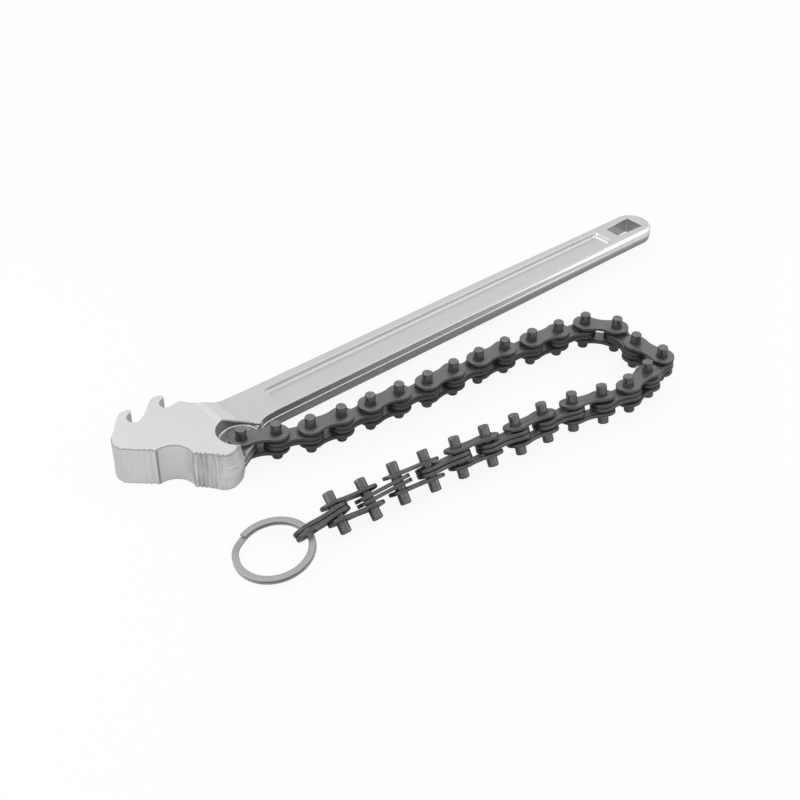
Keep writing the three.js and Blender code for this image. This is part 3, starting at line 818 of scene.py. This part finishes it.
def surface_net(xs, ys, zs, field):
    """Points and four-sided faces on the nought level of a field on a grid."""
    shape = tuple(n - 1 for n in field.shape)
    total = np.zeros(shape + (3,))
    count = np.zeros(shape)
    grid = (xs, ys, zs)
    for axis in range(3):
        others = [a for a in range(3) if a != axis]
        crossed, low, high = crossings(field, axis)
        place = np.stack([grid[a][crossed[:, a]] for a in range(3)], 1)
        step = np.diff(grid[axis])[crossed[:, axis]]
        place[:, axis] += low / (low - high) * step
        for da in (0, 1):
            for db in (0, 1):
                cell = crossed.copy()
                cell[:, others[0]] -= da
                cell[:, others[1]] -= db
                np.add.at(total, tuple(cell.T), place)
                np.add.at(count, tuple(cell.T), 1)
    used = count > 0
    number = np.full(shape, -1)
    number[used] = np.arange(used.sum())
    points = total[used] / count[used][:, None]
    faces = []
    for axis in range(3):
        first, second = [(1, 2), (2, 0), (0, 1)][axis]
        crossed, low, _ = crossings(field, axis)
        corner = []
        for da, db in ((0, 0), (1, 0), (1, 1), (0, 1)):
            cell = crossed.copy()
            cell[:, first] -= da
            cell[:, second] -= db
            corner.append(number[tuple(cell.T)])
        quads = np.stack(corner, 1)
        quads[low >= 0] = quads[low >= 0][:, ::-1]
        faces.append(quads)
    return points, np.concatenate(faces)


def settle(points, shape, rounds=2, reach=0.02, least_slope=0.25, longest=0.3):
    """Points moved on to the exact surface."""
    for _ in range(rounds):
        value = shape.distance(*points.T)
        aside = [points + reach * axis for axis in np.eye(3)]
        slope = np.stack([shape.distance(*moved.T) - value for moved in aside], 1) / reach
        slope /= np.maximum((slope ** 2).sum(1), least_slope)[:, None]
        points = points - np.clip(value, -longest, longest)[:, None] * slope
    return points


def near_pad(x, y, pad, lead=1.5, proud=0.5, deep=1):
    """True within a groove's depth of a pad's line."""
    start, end = (np.array(on_head(share)) for share in pad)
    length = np.linalg.norm(end - start)
    along = (end - start) / length
    run = (x - start[0]) * along[0] + (y - start[1]) * along[1]
    depth = (y - start[1]) * along[0] - (x - start[0]) * along[1]
    return (run > -lead) & (run < length) & (depth > -proud) & (depth < deep)


def on_handle_side(x, y, up, lead=12, lip=0.25, tip_reach=6):
    """True on the handle's drafted sides, its parting band and its round end."""
    rounded = HANDLE_EDGE_ROUND + (TIP_EDGE_ROUND - HANDLE_EDGE_ROUND) * toward_tip(x)
    side_begins = HALF_WIDTH - rounded - SIDE_SLOPE * np.maximum(x - NECK_END, 0)
    outer = (np.abs(y) > side_begins) | (x > TIP_CENTRE + tip_reach)
    return outer & (x > NECK_END - lead) & (up < HALF_THICKNESS - lip)


def on_end_wall(x, y, up, run=3, inset=0.6, lip=0.1, foot=0.15):
    """True on the wall that ends the recess near the tip."""
    within = (x > RECESS_END - run) & (x < RECESS_END)
    within &= np.abs(y) < RECESS_WIDTH / 2 - inset
    above_floor = up > HALF_THICKNESS - RECESS_DEPTH + foot
    return within & above_floor & (up < HALF_THICKNESS - lip)


def on_relief_corner(x, y, play=0.15, reach=1.1):
    """True on the relief's two upright corners."""
    aside = np.hypot(x - RELIEF_CENTRE[0], y - RELIEF_CENTRE[1])
    ends = [on_head(share) for share in (REAR_PAD_SHARES[1], FRONT_PAD_SHARES[0])]
    from_end = np.minimum(*(np.hypot(x - end[0], y - end[1]) for end in ends))
    return (aside < RELIEF_RADIUS + play) & (from_end < reach)


def finish_numbers(shape, x, y, z):
    """Which of the forging's finishes each face has; where several fit, the last one wins."""
    up = np.abs(z - MIDDLE)
    from_pin = np.hypot(x - CHAIN_PIN[0], y - CHAIN_PIN[1])
    by_pocket = from_pin < POCKET_REACH + POCKET_LIP
    below_flat = up < MIDDLE - FLAT_LIP
    by_edge = (up > MIDDLE - EDGE_DEPTH) & ~by_pocket
    on_working_half = y < x * HEAD_SIDE_SLOPE + HEAD_SIDE_RISE
    on_working_half &= x < NECK_START - HEAD_SIDE_INSET
    on_heel = (x < HEEL_CORNER[0]) & (y < HEEL_CORNER[1])
    on_head_side = below_flat & on_working_half
    on_front_pad = near_pad(x, y, FRONT_PAD_SHARES)
    on_front_pad &= x < on_head(FRONT_PAD_SHARES[1])[0] - PAD_TAIL
    in_pocket = by_pocket & (up < MIDDLE - POCKET_LIP_DEPTH) & (up > TONGUE_HALF - TONGUE_LIP)
    on_tongue = (from_pin < POCKET_REACH + TONGUE_REACH) & (up < TONGUE_HALF - TONGUE_LIP)
    rim = by_edge & (shape.plan(x, y) > -EDGE_REACH) & (on_working_half | on_heel)
    bevel = (np.abs(shape.seat_bevels(x, y, up)) < BEVEL_REACH) & below_flat
    number = np.where(below_flat, SKIN, FLAT)
    for where, finish in (
        (on_handle_side(x, y, up), SIDE),
        # Painted light on the head's working sides
        (on_head_side, PAINTED_LIGHT_SIDE),
        (below_flat & near_pad(x, y, REAR_PAD_SHARES), REAR_PAD),
        (below_flat & on_front_pad, FRONT_PAD),
        (in_pocket, POCKET),
        (on_tongue & (x > TONGUE_BEGINS), TONGUE),
        # Painted light on the recess's end wall
        (on_end_wall(x, y, up), PAINTED_LIGHT_SIDE),
        # Painted shade on the edges, rims, relief corners and seat bevels
        (on_head_side & (by_edge | on_relief_corner(x, y)), EDGE),
        (rim | bevel, EDGE),
    ):
        number = np.where(where, finish, number)
    return number


def forging_mesh():
    shape = Forging()
    xs, ys, ups = stepped(*GRID_X), stepped(*GRID_Y), stepped(*GRID_UP)
    zs = MIDDLE + np.concatenate([-ups[:0:-1], ups])
    flat_x, flat_y = np.meshgrid(xs, ys, indexing="ij")
    plan = shape.plan(flat_x, flat_y)[:, :, None]
    pocket = shape.pocket_plan(flat_x, flat_y)[:, :, None]
    x, y, z = flat_x[:, :, None], flat_y[:, :, None], zs[None, None, :]
    field = shape.distance(x, y, z, plan, pocket) + np.zeros((len(xs), len(ys), len(zs)))
    points, faces = surface_net(xs, ys, zs, field)
    mesh = mesh_from("handle_and_jaw", settle(points, shape) * MILLIMETRE, faces.tolist())
    for finish in forging_finishes().values():
        mesh.materials.append(finish)
    centres = np.empty(len(mesh.polygons) * 3)
    mesh.polygons.foreach_get("center", centres)
    numbers = finish_numbers(shape, *centres.reshape(-1, 3).T / MILLIMETRE)
    mesh.polygons.foreach_set("material_index", numbers)
    return mesh


# Chain pieces, each made once and then set out by a node tree


def plate_outline():
    """Two round ends and a waist drawn in between them by arcs that touch both."""
    half, waist = PITCH / 2, PLATE_WAIST / 2
    square = half * half + waist * waist - PLATE_END_RADIUS ** 2
    radius = square / (2 * (PLATE_END_RADIUS - waist))
    side = waist + radius
    meet = math.atan2(side, half)
    return (
        arc((0, 0), PLATE_END_RADIUS, meet, 2 * math.pi - meet, steps=20)
        + arc((half, -side), radius, math.pi - meet, meet, steps=10)[1:-1]
        + arc((PITCH, 0), PLATE_END_RADIUS, meet - math.pi, math.pi - meet, steps=20)
        + arc((half, side), radius, -meet, meet - math.pi, steps=10)[1:-1]
    )


def plate_piece(name, thickness, near_hole, far_hole):
    """A punched plate with soft edges and two round holes, its lower face at nought."""
    curve = bpy.data.curves.new(name, "CURVE")
    curve.dimensions = "2D"
    curve.fill_mode = "BOTH"
    loops = [plate_outline()]
    for x, radius in ((0, near_hole), (PITCH, far_hole)):
        loops.append(arc((x, 0), radius, 2 * math.pi, 0, steps=28)[:-1])
    for loop in loops:
        spline = curve.splines.new("POLY")
        spline.points.add(len(loop) - 1)
        for point, (x, y) in zip(spline.points, loop):
            point.co = (x, y, 0, 1)
        spline.use_cyclic_u = True
    curve.extrude = thickness / 2 - PLATE_EDGE
    curve.bevel_depth = PLATE_EDGE
    curve.bevel_resolution = 1
    curve.offset = -PLATE_EDGE
    source = make_object(name, curve)
    mesh = plain_mesh(source)
    bpy.data.objects.remove(source)
    mesh.transform(Matrix.Translation((0, 0, thickness / 2)))
    close_up(mesh)
    return make_object(name, mesh)


def revolved(profile, steps):
    """A closed round solid from (radius, height) points that start and end on the axis."""
    points, faces = [(0, 0, profile[0][1]), (0, 0, profile[-1][1])], []
    rings = profile[1:-1]
    for radius, height in rings:
        points += [(x, y, height) for x, y in arc((0, 0), radius, 0, 2 * math.pi, steps)[:-1]]
    last = 2 + (len(rings) - 1) * steps
    for step in range(steps):
        following = (step + 1) % steps
        faces.append((0, 2 + following, 2 + step))
        faces.append((1, last + step, last + following))
        for base in range(2, last, steps):
            above = base + steps
            faces.append((base + step, base + following, above + following, above + step))
    return points, faces


def pin_piece(name):
    """A long chain pin with chamfered ends, each with the faint dimple of its die."""
    half, flat, soft = PIN_LENGTH / 2, PIN_RADIUS - PIN_CHAMFER, PIN_CHAMFER * PIN_CHAMFER_ROUND
    end = [
        (0, half - PIN_DIMPLE), (PIN_RADIUS * PIN_DIMPLE_SHARE, half - PIN_DIMPLE),
        (PIN_RADIUS * PIN_DIMPLE_RIM_SHARE, half - PIN_DIMPLE_RIM_DROP),
        (flat, half), (PIN_RADIUS - soft, half - soft),
        (PIN_RADIUS, half - PIN_CHAMFER), (PIN_RADIUS, half - PIN_CHAMFER * PIN_CHAMFER_BACK),
    ]
    profile = [(radius, -height) for radius, height in end] + end[::-1]
    return make_object(name, mesh_from(name, *revolved(profile, steps=28)))


def row_tree(name, side_metal, face_metal):
    """A node tree that sets a piece out in a row and dresses its sides and its flat faces."""
    tree = bpy.data.node_groups.new(name, "GeometryNodeTree")
    for title, kind in (
        ("Geometry", "Geometry"), ("Piece", "Object"), ("Count", "Int"),
        ("Start", "Vector"), ("Step", "Vector"),
    ):
        tree.interface.new_socket(name=title, in_out="INPUT", socket_type=f"NodeSocket{kind}")
    tree.interface.new_socket(name="Geometry", in_out="OUTPUT", socket_type="NodeSocketGeometry")
    given, line, piece, copies, realize, dress, normal, parts, steepness, level, cap, result = (
        tree.nodes.new(kind) for kind in (
            "NodeGroupInput", "GeometryNodeMeshLine", "GeometryNodeObjectInfo",
            "GeometryNodeInstanceOnPoints", "GeometryNodeRealizeInstances",
            "GeometryNodeSetMaterial", "GeometryNodeInputNormal", "ShaderNodeSeparateXYZ",
            "ShaderNodeMath", "FunctionNodeCompare", "GeometryNodeSetMaterial", "NodeGroupOutput",
        )
    )
    line.mode = "OFFSET"
    steepness.operation = "ABSOLUTE"
    level.inputs[1].default_value = FACE_TILT
    dress.inputs["Material"].default_value = side_metal
    cap.inputs["Material"].default_value = face_metal
    for start, output, end, entry in (
        (given, "Count", line, "Count"), (given, "Start", line, "Start Location"),
        (given, "Step", line, "Offset"), (given, "Piece", piece, "Object"),
        (line, "Mesh", copies, "Points"), (piece, "Geometry", copies, "Instance"),
        (copies, "Instances", realize, "Geometry"), (realize, "Geometry", dress, "Geometry"),
        (normal, 0, parts, 0), (parts, 2, steepness, 0), (steepness, 0, level, 0),
        (level, 0, cap, "Selection"), (dress, "Geometry", cap, "Geometry"),
        (cap, "Geometry", result, "Geometry"),
    ):
        tree.links.new(start.outputs[output], end.inputs[entry])
    return tree


def pair_of(piece, tree, start, step):
    """Two copies of a piece, a step apart, as one plain mesh."""
    values = {"Piece": piece, "Count": 2, "Start": start, "Step": step}
    holder = make_object("pair", bpy.data.meshes.new("pair"))
    modifier = holder.modifiers.new("row", "NODES")
    modifier.node_group = tree
    for item in tree.interface.items_tree:
        if item.in_out == "INPUT" and item.name in values:
            modifier[item.identifier] = values[item.name]
    mesh = plain_mesh(holder)
    bpy.data.objects.remove(holder)
    return mesh


# Where the chain's links lie


def joint_places():
    """Each chain pin's place and upward axis, then the ring's; every second joint points down."""
    return [
        (Vector(joint["pos_m"]), Vector(joint["axis"]) * (-1) ** index)
        for index, joint in enumerate(frame["joints"])
    ]


def link_place(start, end, up):
    """The matrix that takes a link drawn along X, in millimetres, to its place."""
    along = (end - start).normalized()
    up = (up - along * up.dot(along)).normalized()
    turn = Matrix((along, up.cross(along), up)).transposed().to_4x4()
    return Matrix.Translation(start) @ turn @ Matrix.Scale(MILLIMETRE, 4)


def placed(name, mesh, matrix, body, slot, *nodes, angle=35):
    """Makes a finished piece that stands at the origin, with its place in its mesh."""
    mesh.transform(matrix)
    smooth(mesh, angle)
    mesh.name = name
    piece = make_object(name, mesh)
    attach(piece, body)
    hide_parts(*nodes)


def make_chain():
    """Pin links with their outer plates and inner links in turn, the last with a wide eye."""
    # Painted shade: the plates' sides are a darker copy of the steel on their faces
    painted_shade_plate_side = chain_finish("painted_shade_plate_side", 0.08, 0.16, 0.42)
    plate_face = chain_finish("plate_face", 0.14, 0.24, 0.42)
    pin_side = chain_finish("pin_side", 0.08, 0.26, 0.27)
    pin_end = chain_finish("pin_end", 0.13, 0.28, 0.32)
    tight, loose = PIN_RADIUS + RIVET_PLAY, PIN_RADIUS + PIN_PLAY
    outer = plate_piece("outer_plate", OUTER_PLATE_THICKNESS, tight, tight)
    inner = plate_piece("inner_plate", INNER_PLATE_THICKNESS, loose, loose)
    eye = plate_piece("eye_plate", INNER_PLATE_THICKNESS, loose, EYE_RADIUS)
    pin = pin_piece("long_pin")
    plates = row_tree("plate_pair", painted_shade_plate_side, plate_face)
    pins = row_tree("pin_pair", pin_side, pin_end)
    outer_low, outer_step = (0, 0, -OUTER_OUTSIDE), (0, 0, OUTER_OUTSIDE + OUTER_INSIDE)
    inner_low, inner_step = (0, 0, -INNER_STACK), (0, 0, INNER_PLATE_THICKNESS + INNER_PLATE_GAP)
    places = joint_places()
    for pair in range(LINK_PAIRS):
        number, last = f"{pair + 1:02d}", pair == LINK_PAIRS - 1
        (first, _), (second, second_up), (third, third_up) = places[2 * pair:2 * pair + 3]
        body, matrix = f"pin_link_{number}", link_place(first, second, second_up)
        mesh = pair_of(pin, pins, (0, 0, 0), (PITCH, 0, 0))
        placed(f"long_pins_{number}", mesh, matrix, body, "chain_pin_link", f"pin_link_{number}",
               angle=30)
        mesh = pair_of(outer, plates, outer_low, outer_step)
        placed(f"outer_plates_{number}", mesh, matrix, body,
               "chain_outer_plate", f"pin_link_{number}", f"cover_plate_{number}")
        up = third_up if last else (second_up + third_up).normalized()
        matrix = link_place(second, third, up)
        mesh = pair_of(eye if last else inner, plates, inner_low, inner_step)
        placed(f"inner_plates_{number}", mesh, matrix, f"inner_link_{number}",
               "chain_inner_plate", f"inner_plate_upper_{number}", f"inner_plate_lower_{number}")
    for piece in (outer, inner, eye, pin):
        bpy.data.objects.remove(piece)


# The split ring


def ring_mesh(steps=288):
    """Nearly two flat turns of soft-edged wire with one step up between them."""
    lift = RING_WIRE_HEIGHT + RING_TURN_GAP
    sweep = 4 * math.pi - RING_END_GAP_SHARE * RING_JOG
    wide, tall = RING_WIRE_WIDTH / 2 - RING_EDGE, RING_WIRE_HEIGHT / 2 - RING_EDGE
    quarter = math.pi / 2
    section = []
    for turn, corner in enumerate(((wide, tall), (-wide, tall), (-wide, -tall), (wide, -tall))):
        section += arc(corner, RING_EDGE, turn * quarter, (turn + 1) * quarter, steps=3)
    points, faces, sides = [], [], len(section)
    for step in range(steps + 1):
        turned = sweep * step / steps
        height = lift * (float(eased((turned - sweep / 2) / RING_JOG + 0.5)) - 0.5)
        angle = RING_SPLIT_BEARING + turned
        for sideways, upward in section:
            reach = RING_RADIUS + sideways
            points.append((reach * math.cos(angle), reach * math.sin(angle), height + upward))
    for step in range(steps):
        for side in range(sides):
            a, b = step * sides + side, step * sides + (side + 1) % sides
            faces.append((a, a + sides, b + sides, b))
    faces.append(tuple(range(sides)))
    faces.append(tuple(range(steps * sides, (steps + 1) * sides))[::-1])
    mesh = mesh_from("ring", points, faces)
    close_up(mesh)
    return mesh


def make_ring():
    """The ring lies tipped, its far rim on the bench and its near side through the last eye."""
    eye = joint_places()[-1][0]
    half_stack = RING_WIRE_HEIGHT + RING_TURN_GAP / 2
    tilt = math.asin((eye.z / MILLIMETRE - half_stack) / (RING_RADIUS + RING_DIAMETER / 2))
    to_eye = Vector((math.cos(RING_EYE_BEARING), math.sin(RING_EYE_BEARING), 0))
    turn = Matrix.Rotation(-tilt, 4, Vector((-to_eye.y, to_eye.x, 0)))
    centre = eye - turn @ to_eye * RING_RADIUS * MILLIMETRE
    matrix = Matrix.Translation(centre) @ turn @ Matrix.Scale(MILLIMETRE, 4)
    mesh = ring_mesh()
    mesh.materials.append(ring_finish())
    placed("key_ring", mesh, matrix, "split_ring", "ring", "split_ring", angle=50)


def make_forging():
    placed("handle_and_jaw", forging_mesh(), Matrix.Identity(4), "handle", "forging",
           "forged_handle_and_jaw", angle=60)


# The stage, the lamps and the camera, in metres

AIM = Vector((0.1036, -0.0274, 0.0))
TIP = Vector((0.3, 0.0, 0.0))
VIEW_TURN = math.radians(40.849)
VIEW_ELEVATION = math.radians(37.176)
VIEW_DISTANCE = 0.639588
VIEW_ROLL = math.radians(0.541)
LENS = 59.77
SENSOR = 36.0
NEAREST_SEEN = 0.01

# Each lamp's place, what it points at, its size and its power
LAMPS = {
    "overhead": ((0.637, 0.107, 0.953), AIM, 1.0, 0.6),
    "far side": ((-0.2, 0.55, 0.85), AIM, 1.3, 1.3),
    "head side": ((-0.35, 0.13, 0.2), AIM, 0.4, 0.6),
    "tip side": ((0.42, -0.28, 0.1), TIP, 0.4, 0.3),
}

# How bright the studio is for matt surfaces, and how much brighter where it is seen or mirrored
STUDIO_LIGHT = 0.75
STUDIO_SEEN = 0.25
STUDIO_MIRRORED = 0.17

# The bench: its paint as it lights the wrench and as it is seen, and its share of plain white
BENCH_PAINT = 0.58
BENCH_SEEN = 0.95
BENCH_WHITE_SEEN = 0.9
BENCH_WHITE_MIRRORED = 0.15
BENCH_HALF = 6.0
BENCH_DROP = 0.0002


def looking(place, target, roll=0.0):
    back = (place - target).normalized()
    turn = back.to_track_quat("Z", "Y").to_matrix().to_4x4()
    return Matrix.Translation(place) @ turn @ Matrix.Rotation(roll, 4, "Z")


def make_camera():
    data = bpy.data.cameras.new("camera")
    data.lens = LENS
    data.sensor_width = SENSOR
    data.clip_start = NEAREST_SEEN
    camera = make_object("camera", data)
    flat = Vector((-math.sin(VIEW_TURN), -math.cos(VIEW_TURN), 0)) * math.cos(VIEW_ELEVATION)
    place = AIM + (flat + Vector((0, 0, math.sin(VIEW_ELEVATION)))) * VIEW_DISTANCE
    camera.matrix_world = looking(place, AIM, VIEW_ROLL)
    bpy.context.scene.camera = camera


def make_lamp(name, place, target, size, power):
    data = bpy.data.lights.new(name, "AREA")
    data.shape = "SQUARE"
    data.size = size
    data.energy = power
    make_object(name, data).matrix_world = looking(Vector(place), target)


def ray_kinds(tree):
    """One for rays of each kind: from the camera, off a glossy surface and through a clear one."""
    path = tree.nodes.new("ShaderNodeLightPath")
    kinds = ("Is Camera Ray", "Is Glossy Ray", "Is Transmission Ray")
    return [Wire(tree, path.outputs[kind]) for kind in kinds]


def make_world():
    world = bpy.data.worlds.new("studio")
    bpy.context.scene.world = world
    world.use_nodes = True
    tree = world.node_tree
    tree.nodes.clear()
    camera, glossy, clear = ray_kinds(tree)
    lit = tree.nodes.new("ShaderNodeBackground")
    lit.inputs["Color"].default_value = (1, 1, 1, 1)
    strength = STUDIO_LIGHT + (camera + clear) * STUDIO_SEEN + glossy * STUDIO_MIRRORED
    tree.links.new(strength.socket, lit.inputs["Strength"])
    output = tree.nodes.new("ShaderNodeOutputWorld")
    tree.links.new(lit.outputs[0], output.inputs["Surface"])


def make_floor():
    finish = Finish("pale_bench")
    camera, glossy, clear = ray_kinds(finish.tree)
    paint = finish.blend(camera, grey(BENCH_PAINT), grey(BENCH_SEEN))
    matte = finish.node("ShaderNodeBsdfDiffuse", {}, {"Color": paint})
    white = finish.node("ShaderNodeEmission", {}, {"Color": grey(1.0), "Strength": 1.0})
    share = (camera + clear) * BENCH_WHITE_SEEN + glossy * BENCH_WHITE_MIRRORED
    mixed = finish.node("ShaderNodeMixShader", {}, {0: share, 1: matte, 2: white})
    finish.node("ShaderNodeOutputMaterial", {}, {"Surface": mixed})
    signs = ((-1, -1), (1, -1), (1, 1), (-1, 1))
    corners = [(x * BENCH_HALF, y * BENCH_HALF, -BENCH_DROP) for x, y in signs]
    mesh = mesh_from("bench", corners, [(0, 1, 2, 3)])
    mesh.materials.append(finish.material)
    make_object("bench", mesh)


bpy.context.scene.view_settings.view_transform = "Standard"
make_camera()
make_world()
for lamp_name, lamp in LAMPS.items():
    make_lamp(lamp_name, *lamp)
make_floor()
make_forging()
make_chain()
make_ring()
